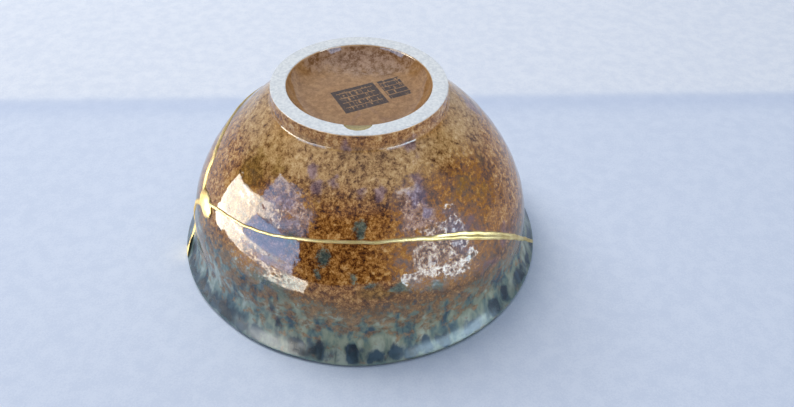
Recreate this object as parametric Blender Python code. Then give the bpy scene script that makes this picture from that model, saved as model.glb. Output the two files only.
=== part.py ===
"""Ceramic rice bowl that broke once and was mended with gold, standing on its rim with the foot ring up.

Metres, +Z up. The origin is the middle of the circle that the rim stands on. The bowl is a turned section,
the breaks are three lines across its wall that meet at one junction, and the gold fills the breaks.
"""

import math

import bmesh
import bpy
from mathutils import Vector

# Bowl
HEIGHT = 0.0611
RIM_RADIUS = 0.0600
WALL = 0.0040
BASE_THICKNESS = 0.0056

# Lip, which turns outwards past the neck
LIP_THICKNESS = 0.0036
LIP_ROUND = 0.0011
LIP_FLARE = 0.0043
NECK_HEIGHT = 0.0120
FLARE_EDGE_REACH = 0.0004
FLARE_NECK_REACH = 0.0050

# Belly, as shares of the wall's own height and run, and the slope at which it meets the foot
BELLY_RISE = 0.160
BELLY_RUN = 1.080
BELLY_END_SLOPE = math.radians(37.0)

# Inner floor, as shares of what is left to rise and of the radius where the even wall ends
INNER_FLOOR_BEND = 0.60
INNER_FLOOR_FLAT = 0.55

# Foot ring and the recess inside it; the steepness is how much of the depth its wall falls almost straight
FOOT_RADIUS = 0.0271
FOOT_HEIGHT = 0.0060
FOOT_TAPER = 0.0011
FOOT_FILLET = 0.0015
FOOT_FACE_WIDTH = 0.0048
FOOT_EDGE = 0.0004
RECESS_DEPTH = 0.0055
RECESS_SLOPE_RUN = 0.0078
RECESS_STEEPNESS = 0.70

# Chip in the foot ring's face and the gold that fills it
CHIP_AZIMUTH = math.radians(-91.5)
CHIP_LENGTH = 0.0082
CHIP_WIDTH = 0.0023
CHIP_DEPTH = 0.0012
CHIP_BLUNTNESS = 0.8

# Places where the hand-thrown lip runs wide or narrow: azimuth, spread of azimuth, share of the offset
LIP_OFFSET = 0.0005
LIP_UNEVENNESS = (
    (math.radians(-93), math.radians(11), 1.0),
    (math.radians(-135), math.radians(9), -0.8),
)
UNEVEN_HEIGHT = 0.0070

# Breaks: azimuth in degrees, height as a share of HEIGHT, width of the gold as a multiple of GOLD_WIDTH
GOLD_WIDTH = 0.0010
JUNCTION = (-160.3, 0.461)
FRONT_BREAK = (
    (*JUNCTION, 1.6),
    (-153.2, 0.508, 1.3),
    (-143.4, 0.539, 1.0),
    (-128.2, 0.568, 1.0),
    (-112.2, 0.600, 1.1),
    (-97.6, 0.614, 1.2),
    (-83.5, 0.613, 1.2),
    (-69.0, 0.596, 1.6),
    (-53.7, 0.544, 2.6),
    (-45.7, 0.494, 2.9),
    (-36.6, 0.417, 2.6),
    (-27.2, 0.308, 2.0),
    (-20.0, 0.205, 1.6),
    (-13.0, 0.095, 1.5),
    (-7.7, 0.000, 1.5),
)
LEFT_BREAK = (
    (*JUNCTION, 2.4),
    (-166.0, 0.406, 2.2),
    (-170.6, 0.345, 2.0),
    (-172.8, 0.250, 2.0),
    (-173.5, 0.160, 2.2),
    (-172.6, 0.090, 3.4),
    (-170.6, 0.035, 8.0),
    (-170.3, 0.000, 9.0),
)
BACK_BREAK = (
    (*JUNCTION, 2.6),
    (-167.0, 0.484, 2.6),
    (-170.9, 0.534, 2.6),
    (-175.2, 0.601, 2.6),
    (-182.5, 0.641, 2.4),
    (-191.5, 0.674, 2.1),
    (-205.5, 0.697, 1.7),
    (-222.0, 0.672, 1.5),
    (-238.0, 0.575, 1.6),
    (-250.0, 0.430, 1.8),
    (-258.5, 0.260, 1.7),
    (-263.0, 0.110, 1.6),
    (-264.0, 0.000, 1.6),
)

# Gold: how far it stands out of the glaze, how full its crown is, and the blob where the breaks meet
GOLD_PROUD_OUTSIDE = 0.00045
GOLD_PROUD_INSIDE = 0.00030
CROWN_SHOULDER = 0.55
CROWN_SHOULDER_RISE = 0.75
BLOB_LENGTH = 0.0130
BLOB_WIDTH = 0.0066
BLOB_PROUD = 0.0008
BLOB_DOME = ((0.50, 1.0), (0.85, 0.6))
BLOB_UNDERSIDE = 0.60
ARM_ROOT = 0.20

# Clearance between the pieces, and of the gold above what the rim stands on
GAP = 0.0003
GOLD_CLEAR = 0.0001

# Fineness of the curves
SEGMENTS = 72
LIP_STEPS = 3
FLARE_STEPS = 5
WALL_STEPS = 9
WALL_STEPS_INSIDE = 7
BASE_STEPS_INSIDE = 4
EDGE_STEPS = 2
FILLET_STEPS = 2
RECESS_STEPS = 3
BREAK_STEP = 0.0040
BREAK_FINENESS = 16
BLOB_SIDES = 16
CHIP_STEPS = 10
GLAZE_SHARP_ANGLE = math.radians(40)
GOLD_SHARP_ANGLE = math.radians(50)

# Materials
GLAZE_COLOUR = (0.36, 0.17, 0.07)
GLAZE_ROUGHNESS = 0.22
GOLD_COLOUR = (0.85, 0.62, 0.22)
GOLD_ROUGHNESS = 0.28


def bezier(start, start_handle, end_handle, end, steps):
    """Points along a cubic curve, both ends included."""
    points = []
    for step in range(steps + 1):
        t = step / steps
        weights = ((1 - t) ** 3, 3 * (1 - t) ** 2 * t, 3 * (1 - t) * t * t, t ** 3)
        corners = (start, start_handle, end_handle, end)
        points.append(tuple(sum(w * p[axis] for w, p in zip(weights, corners)) for axis in (0, 1)))
    return points


def quarter_round(middle, radius, first_turn, steps):
    """A quarter of a circle round middle, from first_turn on, anticlockwise in the plane of the section."""
    turns = [first_turn + math.pi / 2 * step / steps for step in range(steps + 1)]
    return [(middle[0] + radius * math.cos(turn), middle[1] + radius * math.sin(turn)) for turn in turns]


def belly_end():
    """Where the wall ends in the foot ring, and the direction in which it gets there."""
    end = Vector((FOOT_RADIUS + FOOT_TAPER, HEIGHT - FOOT_HEIGHT))
    direction = Vector((-math.cos(BELLY_END_SLOPE), math.sin(BELLY_END_SLOPE)))
    return end, direction


def lip_lines():
    """Matching points up the outside and the inside of the lip, from its standing face to the neck."""
    outside = []
    inside = []
    for step in range(LIP_STEPS):
        turn = math.pi / 2 * step / LIP_STEPS
        rise = LIP_ROUND * (1 - math.cos(turn))
        run = LIP_ROUND * (1 - math.sin(turn))
        outside.append((RIM_RADIUS - run, rise))
        inside.append((RIM_RADIUS - LIP_THICKNESS + run, rise))
    neck = RIM_RADIUS - LIP_FLARE
    for line, edge_radius, neck_radius in (
        (outside, RIM_RADIUS, neck),
        (inside, RIM_RADIUS - LIP_THICKNESS, neck - WALL),
    ):
        flare = bezier(
            (edge_radius, LIP_ROUND),
            (edge_radius, LIP_ROUND + FLARE_EDGE_REACH),
            (neck_radius, NECK_HEIGHT - FLARE_NECK_REACH),
            (neck_radius, NECK_HEIGHT),
            FLARE_STEPS,
        )
        line += flare[:-1]
    return outside, inside


def wall_line():
    """The outside of the belly, from the neck up to the foot ring."""
    neck = Vector((RIM_RADIUS - LIP_FLARE, NECK_HEIGHT))
    end, direction = belly_end()
    rise = BELLY_RISE * (end.y - neck.y)
    run = BELLY_RUN * (neck.x - end.x)
    return bezier(neck, neck + Vector((0, rise)), end - direction * run, end, WALL_STEPS)


def inward(line, index):
    """The direction across the wall, from its outside to its inside, at one point of its line."""
    before = Vector(line[max(index - 1, 0)])
    after = Vector(line[min(index + 1, len(line) - 1)])
    along = (after - before).normalized()
    return Vector((-along.y, along.x))


def wall_lines():
    """Matching points up the outside and the inside, as far as the wall keeps its even thickness."""
    outside, inside = lip_lines()
    wall = wall_line()
    for index in range(WALL_STEPS_INSIDE + 1):
        across = inward(wall, index) if index else Vector((-1, 0))
        outside.append(wall[index])
        inside.append(tuple(Vector(wall[index]) + across * WALL))
    return outside, inside, wall[WALL_STEPS_INSIDE + 1:]


def foot_line():
    """From the end of the wall over the foot ring and down into the recess, to its middle."""
    end, direction = belly_end()
    ring_base = Vector((FOOT_RADIUS + FOOT_TAPER / 3, end.y + FOOT_FILLET))
    half = FOOT_FILLET / 2
    line = bezier(end, end + direction * half, ring_base - Vector((0, half)), ring_base, FILLET_STEPS)[1:]
    inner_radius = FOOT_RADIUS - FOOT_FACE_WIDTH
    top = HEIGHT - FOOT_EDGE
    line += quarter_round((FOOT_RADIUS - FOOT_EDGE, top), FOOT_EDGE, 0, EDGE_STEPS)
    line += quarter_round((inner_radius + FOOT_EDGE, top), FOOT_EDGE, math.pi / 2, EDGE_STEPS)
    floor = HEIGHT - RECESS_DEPTH
    floor_radius = inner_radius - RECESS_SLOPE_RUN
    line += bezier(
        (inner_radius, top),
        (inner_radius - RECESS_SLOPE_RUN / 4, top - (top - floor) * RECESS_STEEPNESS),
        (inner_radius - RECESS_SLOPE_RUN / 2, floor),
        (floor_radius, floor),
        RECESS_STEPS,
    )[1:]
    return line + [(floor_radius / 2, floor), (0, floor)]


def base_line(inside):
    """From the last point of the inside of the wall to the middle of the bowl's inner floor."""
    start = Vector(inside[-1])
    along = (start - Vector(inside[-2])).normalized()
    floor = HEIGHT - RECESS_DEPTH - BASE_THICKNESS
    reach = INNER_FLOOR_BEND * (floor - start.y) / along.y
    flat = start.x * INNER_FLOOR_FLAT
    return bezier(start, start + along * reach, (flat, floor), (0, floor), BASE_STEPS_INSIDE)[1:]


def unevenness(azimuth, height):
    """How far the surface stands out of a true circle at this place."""
    if height >= UNEVEN_HEIGHT:
        return 0
    fade = (1 - height / UNEVEN_HEIGHT) ** 2
    offset = 0
    for middle, spread, share in LIP_UNEVENNESS:
        turn = math.remainder(azimuth - middle, 2 * math.pi)
        offset += LIP_OFFSET * share * math.exp(-((turn / spread) ** 2))
    return offset * fade


def on_bowl(azimuth, radius, height):
    """The place of a point of the section at this azimuth."""
    radius = radius + unevenness(azimuth, height)
    return Vector((radius * math.cos(azimuth), radius * math.sin(azimuth), height))


def new_object(name, mesh):
    piece = bpy.data.objects.new(name, mesh)
    bpy.context.scene.collection.objects.link(piece)
    return piece


def turn_faces_out(mesh):
    edit = bmesh.new()
    edit.from_mesh(mesh)
    bmesh.ops.recalc_face_normals(edit, faces=edit.faces)
    edit.to_mesh(mesh)
    edit.free()


def mesh_of(name, points, faces):
    """A closed mesh with its faces turned outwards."""
    mesh = bpy.data.meshes.new(name)
    mesh.from_pydata([tuple(point) for point in points], [], faces)
    turn_faces_out(mesh)
    return mesh


def turned(name, section):
    """The section, which starts and ends on the axis, turned round it."""
    points = []
    rings = []
    for radius, height in section:
        if radius == 0:
            rings.append([len(points)] * SEGMENTS)
            points.append(Vector((0, 0, height)))
            continue
        rings.append([len(points) + step for step in range(SEGMENTS)])
        points += [on_bowl(2 * math.pi * step / SEGMENTS, radius, height) for step in range(SEGMENTS)]
    faces = []
    for lower, upper in zip(rings, rings[1:]):
        for step in range(SEGMENTS):
            after = (step + 1) % SEGMENTS
            face = (lower[step], lower[after], upper[after], upper[step])
            faces.append(tuple(dict.fromkeys(face)))
    return new_object(name, mesh_of(name, points, faces))


def lofted(name, sections):
    """A solid through these sections, which all have the same number of corners."""
    count = len(sections[0])
    points = [point for section in sections for point in section]
    faces = [tuple(range(count)), tuple(range(len(points) - count, len(points)))]
    for index in range(len(sections) - 1):
        for corner in range(count):
            after = (corner + 1) % count
            low = index * count
            faces.append((low + corner, low + after, low + count + after, low + count + corner))
    return new_object(name, mesh_of(name, points, faces))


def between(values, place):
    """A smooth value at a place along these values, one unit apart."""
    index = min(int(place), len(values) - 2)
    t = place - index
    before = values[max(index - 1, 0)]
    start = values[index]
    end = values[index + 1]
    after = values[min(index + 2, len(values) - 1)]
    return (
        start
        + (end - before) * t / 2
        + (2 * before - 5 * start + 4 * end - after) * t * t / 2
        + (3 * start - before - 3 * end + after) * t ** 3 / 2
    )


class BreakPoint:
    """One place on a break: the wall's outside and inside there, and the width of the gold."""

    def __init__(self, azimuth, height, width, lines):
        outside, inside = lines
        index = 1
        while index < len(outside) - 1 and outside[index][1] < height:
            index += 1
        low, high = outside[index - 1][1], outside[index][1]
        share = min(max((height - low) / (high - low), 0), 1)
        ends = []
        for line in (outside, inside):
            radius, level = Vector(line[index - 1]).lerp(Vector(line[index]), share)
            ends.append(on_bowl(azimuth, radius, level))
        self.outside, self.inside = ends
        self.out = (self.outside - self.inside).normalized()
        self.width = width


def break_points(corners, lines):
    """Places along a break, evenly spaced, with one at each end."""
    azimuths, heights, widths = zip(*corners)

    def at(place):
        azimuth = math.radians(between(azimuths, place))
        height = max(between(heights, place), 0) * HEIGHT
        return BreakPoint(azimuth, height, between(widths, place) * GOLD_WIDTH, lines)

    found = [at(step / BREAK_FINENESS) for step in range(BREAK_FINENESS * (len(corners) - 1) + 1)]
    chosen = [found[0]]
    travelled = 0
    for before, point in zip(found, found[1:]):
        travelled += (point.outside - before.outside).length
        if travelled >= BREAK_STEP:
            chosen.append(point)
            travelled = 0
    if travelled < BREAK_STEP / 2 and len(chosen) > 2:
        chosen.pop()
    if chosen[-1] is not found[-1]:
        chosen.append(found[-1])
    return chosen


def sideways(points, index):
    """The direction across a break, in the surface, at one of its points."""
    before = points[max(index - 1, 0)].outside
    after = points[min(index + 1, len(points) - 1)].outside
    return (after - before).cross(points[index].out).normalized()


def break_cutter(name, points):
    """What a break takes out of the wall: its gold and the clearance on both sides."""
    sections = []
    for index, point in enumerate(points):
        side = sideways(points, index) * (point.width / 2 + GAP)
        top = point.outside + point.out * WALL
        bottom = point.inside - point.out * WALL
        sections.append([top - side, top + side, bottom + side, bottom - side])
    below = Vector((0, 0, -2 * LIP_ROUND))
    sections.append([corner + below for corner in sections[-1]])
    return lofted(name, sections)


def gold_arm(name, points):
    """The gold in one break, crowned outside and inside, and closed off just above the standing face."""
    sections = []
    for index, point in enumerate(points):
        side = sideways(points, index) * (point.width / 2)
        near_lip = min(point.outside.z / LIP_ROUND, 1)
        crown = point.out * GOLD_PROUD_OUTSIDE * near_lip
        inner_crown = point.out * GOLD_PROUD_INSIDE * near_lip
        sections.append([
            point.outside - side,
            point.outside - side * CROWN_SHOULDER + crown * CROWN_SHOULDER_RISE,
            point.outside + crown,
            point.outside + side * CROWN_SHOULDER + crown * CROWN_SHOULDER_RISE,
            point.outside + side,
            point.inside + side,
            point.inside - inner_crown,
            point.inside - side,
        ])
    for section in sections:
        for corner in section:
            corner.z = max(corner.z, GOLD_CLEAR)
    back_into_blob = (points[0].outside - points[1].outside).normalized() * (BLOB_WIDTH * ARM_ROOT)
    sections[0] = [corner + back_into_blob for corner in sections[0]]
    return lofted(name, sections)


def oval(point, middle, share, growth):
    """A level oval across the wall at the junction: a share of the blob's size, plus the growth."""
    level = Vector((0, 0, 1)).cross(point.out).normalized()
    upright = point.out.cross(level)
    half_length = BLOB_LENGTH / 2 * share + growth
    half_width = BLOB_WIDTH / 2 * share + growth
    turns = [2 * math.pi * step / BLOB_SIDES for step in range(BLOB_SIDES)]
    return [
        middle + level * (half_length * math.cos(turn)) + upright * (half_width * math.sin(turn))
        for turn in turns
    ]


def blob(name, point):
    """The gold where the breaks meet, domed on the outside and a little on the inside."""
    sections = [
        oval(point, point.outside + point.out * BLOB_PROUD * rise, share, 0) for share, rise in BLOB_DOME
    ]
    sections.append(oval(point, point.outside, 1, 0))
    sections.append(oval(point, point.inside, 1, 0))
    sections.append(oval(point, point.inside - point.out * GOLD_PROUD_INSIDE, BLOB_UNDERSIDE, 0))
    return lofted(name, sections)


def blob_hole(name, point):
    """A straight hole through the wall, a clearance wider than the blob."""
    past_wall = point.out * WALL
    return lofted(name, [
        oval(point, point.outside + past_wall, 1, GAP),
        oval(point, point.inside - past_wall, 1, GAP),
    ])


def chip_prism(name, growth, inner_radius, top):
    """A lens-shaped prism at the inner edge of the foot ring's face, as deep as the chip plus the growth."""
    edge = FOOT_RADIUS - FOOT_FACE_WIDTH + FOOT_EDGE
    half_turn = (CHIP_LENGTH / 2 + growth) / edge
    outline = []
    for step in range(CHIP_STEPS + 1):
        share = 2 * step / CHIP_STEPS - 1
        bulge = CHIP_WIDTH * (1 - share * share) ** CHIP_BLUNTNESS
        outline.append((CHIP_AZIMUTH + half_turn * share, edge + bulge + growth))
    outline += [(azimuth, inner_radius) for azimuth, _ in reversed(outline)]
    sections = []
    for height in (HEIGHT - CHIP_DEPTH - growth, top):
        sections.append([Vector((r * math.cos(a), r * math.sin(a), height)) for a, r in outline])
    return lofted(name, sections)


def carve(piece, operation, tools):
    """Cuts the tools out of the piece, or joins them to it, one after the other. The tools are used up."""
    for tool in tools:
        change = piece.modifiers.new(tool.name, "BOOLEAN")
        change.operation = operation
        change.solver = "MANIFOLD"
        change.object = tool
        graph = bpy.context.evaluated_depsgraph_get()
        mesh = bpy.data.meshes.new_from_object(piece.evaluated_get(graph))
        turn_faces_out(mesh)
        piece.modifiers.clear()
        piece.data = mesh
        bpy.data.objects.remove(tool)


def loose_meshes(mesh):
    """The separate bodies of a mesh, each as its own mesh."""
    whole = bmesh.new()
    whole.from_mesh(mesh)
    done = set()
    found = []
    for start in whole.faces:
        if start in done:
            continue
        done.add(start)
        body = [start]
        for face in body:
            for edge in face.edges:
                for other in edge.link_faces:
                    if other not in done:
                        done.add(other)
                        body.append(other)
        order = {}
        for face in body:
            for corner in face.verts:
                order.setdefault(corner, len(order))
        points = [corner.co.copy() for corner in order]
        faces = [[order[corner] for corner in face.verts] for face in body]
        part = bpy.data.meshes.new("shard")
        part.from_pydata(points, [], faces)
        found.append(part)
    whole.free()
    return found


def shard_name(mesh):
    """The piece with the foot is the body; the others are named by the side of the bowl where they lie."""
    points = [corner.co for corner in mesh.vertices]
    if max(point.z for point in points) > HEIGHT - FOOT_EDGE:
        return "bowl_body"
    middle = sum(points, Vector()) / len(points)
    return "front_rim_shard" if middle.y < middle.x else "back_rim_shard"


def finish(piece, material, sharp_angle):
    piece.data.materials.clear()
    piece.data.materials.append(material)
    piece.data.shade_smooth()
    piece.data.set_sharp_from_angle(angle=sharp_angle)


def plain_material(name, colour, roughness, metallic):
    material = bpy.data.materials.new(name)
    material.use_nodes = True
    shader = material.node_tree.nodes["Principled BSDF"]
    shader.inputs["Base Color"].default_value = (*colour, 1)
    shader.inputs["Roughness"].default_value = roughness
    shader.inputs["Metallic"].default_value = metallic
    return material


def build():
    for old in list(bpy.data.objects):
        bpy.data.objects.remove(old)

    outside, inside, rest_of_wall = wall_lines()
    section = list(reversed(inside + base_line(inside))) + outside + rest_of_wall + foot_line()
    bowl = turned("bowl", section)

    lines = (outside, inside)
    breaks = {
        "front": break_points(FRONT_BREAK, lines),
        "left": break_points(LEFT_BREAK, lines),
        "back": break_points(BACK_BREAK, lines),
    }
    junction = breaks["front"][0]
    cutters = [break_cutter(side + "_cutter", points) for side, points in breaks.items()]
    cutters.append(blob_hole("blob_hole", junction))
    chip_mouth = FOOT_RADIUS - FOOT_FACE_WIDTH - 2 * CHIP_DEPTH
    cutters.append(chip_prism("chip_cutter", GAP, chip_mouth, HEIGHT + CHIP_DEPTH))
    carve(bowl, "DIFFERENCE", cutters)

    glaze = plain_material("glaze", GLAZE_COLOUR, GLAZE_ROUGHNESS, 0.0)
    gold = plain_material("gold", GOLD_COLOUR, GOLD_ROUGHNESS, 1.0)
    for mesh in loose_meshes(bowl.data):
        shard = new_object(shard_name(mesh), mesh)
        finish(shard, glaze, GLAZE_SHARP_ANGLE)
    bpy.data.objects.remove(bowl)

    seam = blob("gold_seam", junction)
    arms = [gold_arm(side + "_arm", points) for side, points in breaks.items()]
    carve(seam, "UNION", arms)
    finish(seam, gold, GOLD_SHARP_ANGLE)

    fill_inner = FOOT_RADIUS - FOOT_FACE_WIDTH + FOOT_EDGE / 2
    fill = chip_prism("foot_chip_fill", 0, fill_inner, HEIGHT - FOOT_EDGE / 4)
    finish(fill, gold, GOLD_SHARP_ANGLE)


build()
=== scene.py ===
"""The looks of a ceramic rice bowl that broke once and was mended with gold, standing on its rim.

Metres, +Z up, in the frame of the solids. The three pieces of fired clay are one finely turned section,
cut along the same three breaks as the solids, with the unevenness of a hand-thrown and thickly glazed pot.
The gold lies in the breaks as beads of its own. All colours are worked out by nodes from places on the
object.
"""

import math

import bmesh
import bpy
from mathutils import Matrix, Vector, noise


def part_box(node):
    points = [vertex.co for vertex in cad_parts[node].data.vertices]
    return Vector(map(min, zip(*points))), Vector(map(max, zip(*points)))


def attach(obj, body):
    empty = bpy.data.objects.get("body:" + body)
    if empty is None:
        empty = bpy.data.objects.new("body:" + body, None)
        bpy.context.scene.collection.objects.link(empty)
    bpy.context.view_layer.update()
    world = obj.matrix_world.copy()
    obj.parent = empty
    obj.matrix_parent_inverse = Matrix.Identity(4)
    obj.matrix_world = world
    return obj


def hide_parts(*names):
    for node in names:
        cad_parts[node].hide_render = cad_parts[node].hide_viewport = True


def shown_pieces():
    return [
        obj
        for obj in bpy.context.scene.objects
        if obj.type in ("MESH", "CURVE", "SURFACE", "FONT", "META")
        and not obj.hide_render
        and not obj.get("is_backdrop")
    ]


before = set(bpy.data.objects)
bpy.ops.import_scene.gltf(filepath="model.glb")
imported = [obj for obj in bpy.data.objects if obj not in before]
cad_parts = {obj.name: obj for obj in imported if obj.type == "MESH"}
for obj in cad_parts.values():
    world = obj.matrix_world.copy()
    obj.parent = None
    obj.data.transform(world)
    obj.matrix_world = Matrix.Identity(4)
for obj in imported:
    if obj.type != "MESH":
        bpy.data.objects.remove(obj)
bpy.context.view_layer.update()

# Sizes that the solids give
_, body_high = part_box("bowl_body")
HEIGHT = body_high.z
RIM_RADIUS = body_high.x

# Wall, lip and belly, as in the solids
WALL = 0.0040
BASE_THICKNESS = 0.0056
LIP_THICKNESS = 0.0036
LIP_ROUND = 0.0011
LIP_FLARE = 0.0043
NECK_HEIGHT = 0.0120
FLARE_EDGE_REACH = 0.0004
FLARE_NECK_REACH = 0.0050
BELLY_RISE = 0.160
BELLY_RUN = 1.080
BELLY_END_SLOPE = math.radians(37.0)
INNER_FLOOR_BEND = 0.60
INNER_FLOOR_FLAT = 0.55

# Foot ring and recess, as in the solids
FOOT_RADIUS = 0.0271
FOOT_HEIGHT = 0.0060
FOOT_TAPER = 0.0011
FOOT_FILLET = 0.0015
FOOT_FACE_WIDTH = 0.0048
FOOT_EDGE = 0.0004
RECESS_DEPTH = 0.0055
RECESS_SLOPE_RUN = 0.0078
RECESS_STEEPNESS = 0.70

# Chip in the foot ring's face, as in the solids
CHIP_AZIMUTH = math.radians(-91.5)
CHIP_LENGTH = 0.0082
CHIP_WIDTH = 0.0023
CHIP_BLUNTNESS = 0.8
CHIP_ROUND = 0.00012
CHIP_GAP = 0.00004
CHIP_RAGGED = 0.10
CHIP_STEPS = 40

# Places where the lip runs wide or narrow, as in the solids
LIP_OFFSET = 0.0005
LIP_UNEVENNESS = (
    (math.radians(-93), math.radians(11), 1.0),
    (math.radians(-135), math.radians(9), -0.8),
)
UNEVEN_HEIGHT = 0.0070

# Breaks, as in the solids: azimuth in degrees, height as a share of HEIGHT, gold as a multiple of GOLD_WIDTH
GOLD_WIDTH = 0.0010
JUNCTION = (-160.3, 0.461)
FRONT_BREAK = (
    (*JUNCTION, 1.6),
    (-153.2, 0.508, 1.3),
    (-143.4, 0.539, 1.0),
    (-128.2, 0.568, 1.0),
    (-112.2, 0.600, 1.1),
    (-97.6, 0.614, 1.2),
    (-83.5, 0.613, 1.2),
    (-69.0, 0.596, 1.6),
    (-53.7, 0.544, 2.6),
    (-45.7, 0.494, 2.9),
    (-36.6, 0.417, 2.6),
    (-27.2, 0.308, 2.0),
    (-20.0, 0.205, 1.6),
    (-13.0, 0.095, 1.5),
    (-7.7, 0.000, 1.5),
)
LEFT_BREAK = (
    (*JUNCTION, 2.4),
    (-166.0, 0.406, 2.2),
    (-170.6, 0.345, 2.0),
    (-172.8, 0.250, 2.0),
    (-173.5, 0.160, 2.2),
    (-172.6, 0.090, 3.4),
    (-170.6, 0.035, 8.0),
    (-170.3, 0.000, 9.0),
)
BACK_BREAK = (
    (*JUNCTION, 2.6),
    (-167.0, 0.484, 2.6),
    (-170.9, 0.534, 2.6),
    (-175.2, 0.601, 2.6),
    (-182.5, 0.641, 2.4),
    (-191.5, 0.674, 2.1),
    (-205.5, 0.697, 1.7),
    (-222.0, 0.672, 1.5),
    (-238.0, 0.575, 1.6),
    (-250.0, 0.430, 1.8),
    (-258.5, 0.260, 1.7),
    (-263.0, 0.110, 1.6),
    (-264.0, 0.000, 1.6),
)

# Fineness of the turned pieces
SEGMENTS = 432
LIP_STEPS = 6
FLARE_STEPS = 22
WALL_STEPS = 92
WALL_STEPS_INSIDE = 72
BASE_STEPS_INSIDE = 30
EDGE_STEPS = 5
FILLET_STEPS = 6
RING_WALL_STEPS = 5
FACE_STEPS = 8
RECESS_STEPS = 16
FLOOR_STEPS = 14

# Unevenness of the thrown and glazed wall, in metres: depth, and how far apart the waves are
BROAD_DEPTH, BROAD_LENGTH = 0.00016, 0.022
RING_DEPTH, RING_LENGTH = 0.00005, 0.0052
LUMP_DEPTH, LUMP_LENGTH = 0.00005, 0.0042
RUN_DEPTH, RUN_LENGTH = 0.00012, 0.0050

# Gold beads
GOLD_PROUD = 0.00045
GOLD_PROUD_INSIDE = 0.00030
GOLD_CLEAR = 0.0001
GOLD_SINK = 0.00014
GOLD_WEB = 0.00012
CROWN_SIDES = 10
CUT_HALF_WIDTH = 0.00010
BREAK_STEP = 0.0006
CUT_STEP = 0.0012
BREAK_FINENESS = 40
BREAK_WANDER = 0.00022
BREAK_WANDER_LENGTH = 0.004
BLOB_LENGTH = 0.0130
BLOB_WIDTH = 0.0068
BLOB_PROUD = 0.00085
BLOB_SIDES = 40
BLOB_RINGS = 9
BLOB_STEM = 0.12
BLOB_RAGGED = 0.13
BLOB_DENT, BLOB_DENT_LENGTH = 0.25, 0.0022
GOLD_SWELL, GOLD_FINE_SWELL, GOLD_SWELL_LENGTH = 0.13, 0.06, 0.0035
GOLD_DRIFT = 0.22
WIDE_SEAM_FROM, WIDE_SEAM_FULL = 0.0017, 0.0024
SHARP_ANGLE = math.radians(60)

# Camera: the photograph's viewing angle
IMAGE_WIDTH = 794
FOCAL_PIXELS = 825
SENSOR_WIDTH = 36
CAMERA_PLACE = Vector((0, -0.2130, 0.1988))
CAMERA_PITCH = math.radians(-41.30)
CAMERA_YAW = math.radians(2.50)
CAMERA_ROLL = math.radians(-0.75)

# Where the flat floor sheet has its painted bend, a line of painted shade with painted light past it, in
# millimetres back from the bowl's middle
PAINTED_BEND = 80.5
PAINTED_BEND_SLANT = -0.004

# How far the sheet reaches to each side, and how far it lies below the rim
FLOOR_REACH = 3.0
FLOOR_DROP = 0.00003

# How far the lights are from the bowl
WINDOW_DISTANCE = 1.4
CARD_DISTANCE = 0.170


def bezier(start, start_handle, end_handle, end, steps):
    """Points along a cubic curve, both ends included."""
    points = []
    for step in range(steps + 1):
        t = step / steps
        weights = ((1 - t) ** 3, 3 * (1 - t) ** 2 * t, 3 * (1 - t) * t * t, t ** 3)
        corners = (start, start_handle, end_handle, end)
        points.append(tuple(sum(w * p[axis] for w, p in zip(weights, corners)) for axis in (0, 1)))
    return points


def straight(start, end, steps):
    """Points along a line, both ends included."""
    return [tuple(Vector(start).lerp(Vector(end), step / steps)) for step in range(steps + 1)]


def quarter_round(middle, radius, first_turn, steps):
    turns = [first_turn + math.pi / 2 * step / steps for step in range(steps + 1)]
    return [(middle[0] + radius * math.cos(turn), middle[1] + radius * math.sin(turn)) for turn in turns]


def belly_end():
    end = Vector((FOOT_RADIUS + FOOT_TAPER, HEIGHT - FOOT_HEIGHT))
    direction = Vector((-math.cos(BELLY_END_SLOPE), math.sin(BELLY_END_SLOPE)))
    return end, direction


def lip_lines():
    """Matching points up the outside and the inside of the lip, from its standing face to the neck."""
    outside = []
    inside = []
    for step in range(LIP_STEPS):
        turn = math.pi / 2 * step / LIP_STEPS
        rise = LIP_ROUND * (1 - math.cos(turn))
        run = LIP_ROUND * (1 - math.sin(turn))
        outside.append((RIM_RADIUS - run, rise))
        inside.append((RIM_RADIUS - LIP_THICKNESS + run, rise))
    neck = RIM_RADIUS - LIP_FLARE
    for line, edge_radius, neck_radius in (
        (outside, RIM_RADIUS, neck),
        (inside, RIM_RADIUS - LIP_THICKNESS, neck - WALL),
    ):
        flare = bezier(
            (edge_radius, LIP_ROUND),
            (edge_radius, LIP_ROUND + FLARE_EDGE_REACH),
            (neck_radius, NECK_HEIGHT - FLARE_NECK_REACH),
            (neck_radius, NECK_HEIGHT),
            FLARE_STEPS,
        )
        line += flare[:-1]
    return outside, inside


def wall_line():
    neck = Vector((RIM_RADIUS - LIP_FLARE, NECK_HEIGHT))
    end, direction = belly_end()
    rise = BELLY_RISE * (end.y - neck.y)
    run = BELLY_RUN * (neck.x - end.x)
    return bezier(neck, neck + Vector((0, rise)), end - direction * run, end, WALL_STEPS)


def inward(line, index):
    """The direction across the wall, from its outside to its inside, at one point of its line."""
    before = Vector(line[max(index - 1, 0)])
    after = Vector(line[min(index + 1, len(line) - 1)])
    along = (after - before).normalized()
    return Vector((-along.y, along.x))


def wall_lines():
    """Matching points up the outside and the inside, as far as the wall keeps its even thickness."""
    outside, inside = lip_lines()
    wall = wall_line()
    for index in range(WALL_STEPS_INSIDE + 1):
        across = inward(wall, index) if index else Vector((-1, 0))
        outside.append(wall[index])
        inside.append(tuple(Vector(wall[index]) + across * WALL))
    return outside, inside, wall[WALL_STEPS_INSIDE + 1:]


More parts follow.
